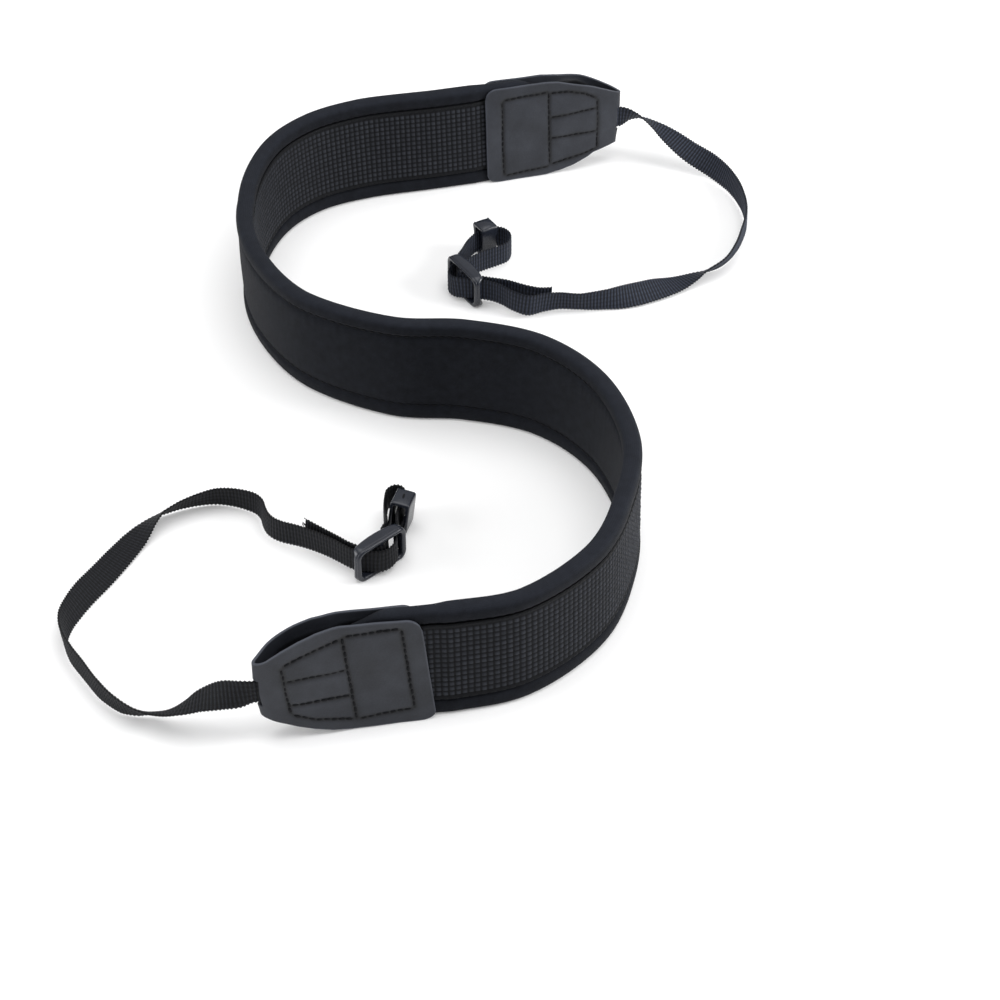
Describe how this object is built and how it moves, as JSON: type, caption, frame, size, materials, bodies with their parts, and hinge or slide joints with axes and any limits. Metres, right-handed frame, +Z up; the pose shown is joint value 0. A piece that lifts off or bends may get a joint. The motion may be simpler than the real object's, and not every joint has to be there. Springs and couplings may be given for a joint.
{
  "type": "camera neck strap",
  "caption": "Padded camera neck strap with grip panel, folded leather tabs, narrow webbing, slide buckles and keepers, standing on its long edge in an S",
  "frame": {"origin": "middle of the bounding box at the surface the strap stands on", "axes": "+Z up from that surface, +Y from the near tab and webbing towards the far ones along the S, +X to the right when looking along +Y"},
  "size_m": [0.3035, 0.4408, 0.052],
  "materials": {
    "neoprene": "dark grey jersey over foam",
    "grip": "raised ribbed grip mesh",
    "leather": "smooth satin",
    "webbing": "cross-ribbed weave",
    "plastic": "semi-matte moulded"
  },
  "bodies": {
    "root": {"neck_pad": "neoprene", "grip_panel": "grip", "far_tab": "leather", "near_tab": "leather", "far_webbing": "webbing", "near_webbing": "webbing", "far_buckle": "plastic", "near_buckle": "plastic", "far_keeper": "plastic", "near_keeper": "plastic"}
  },
  "joints": []
}
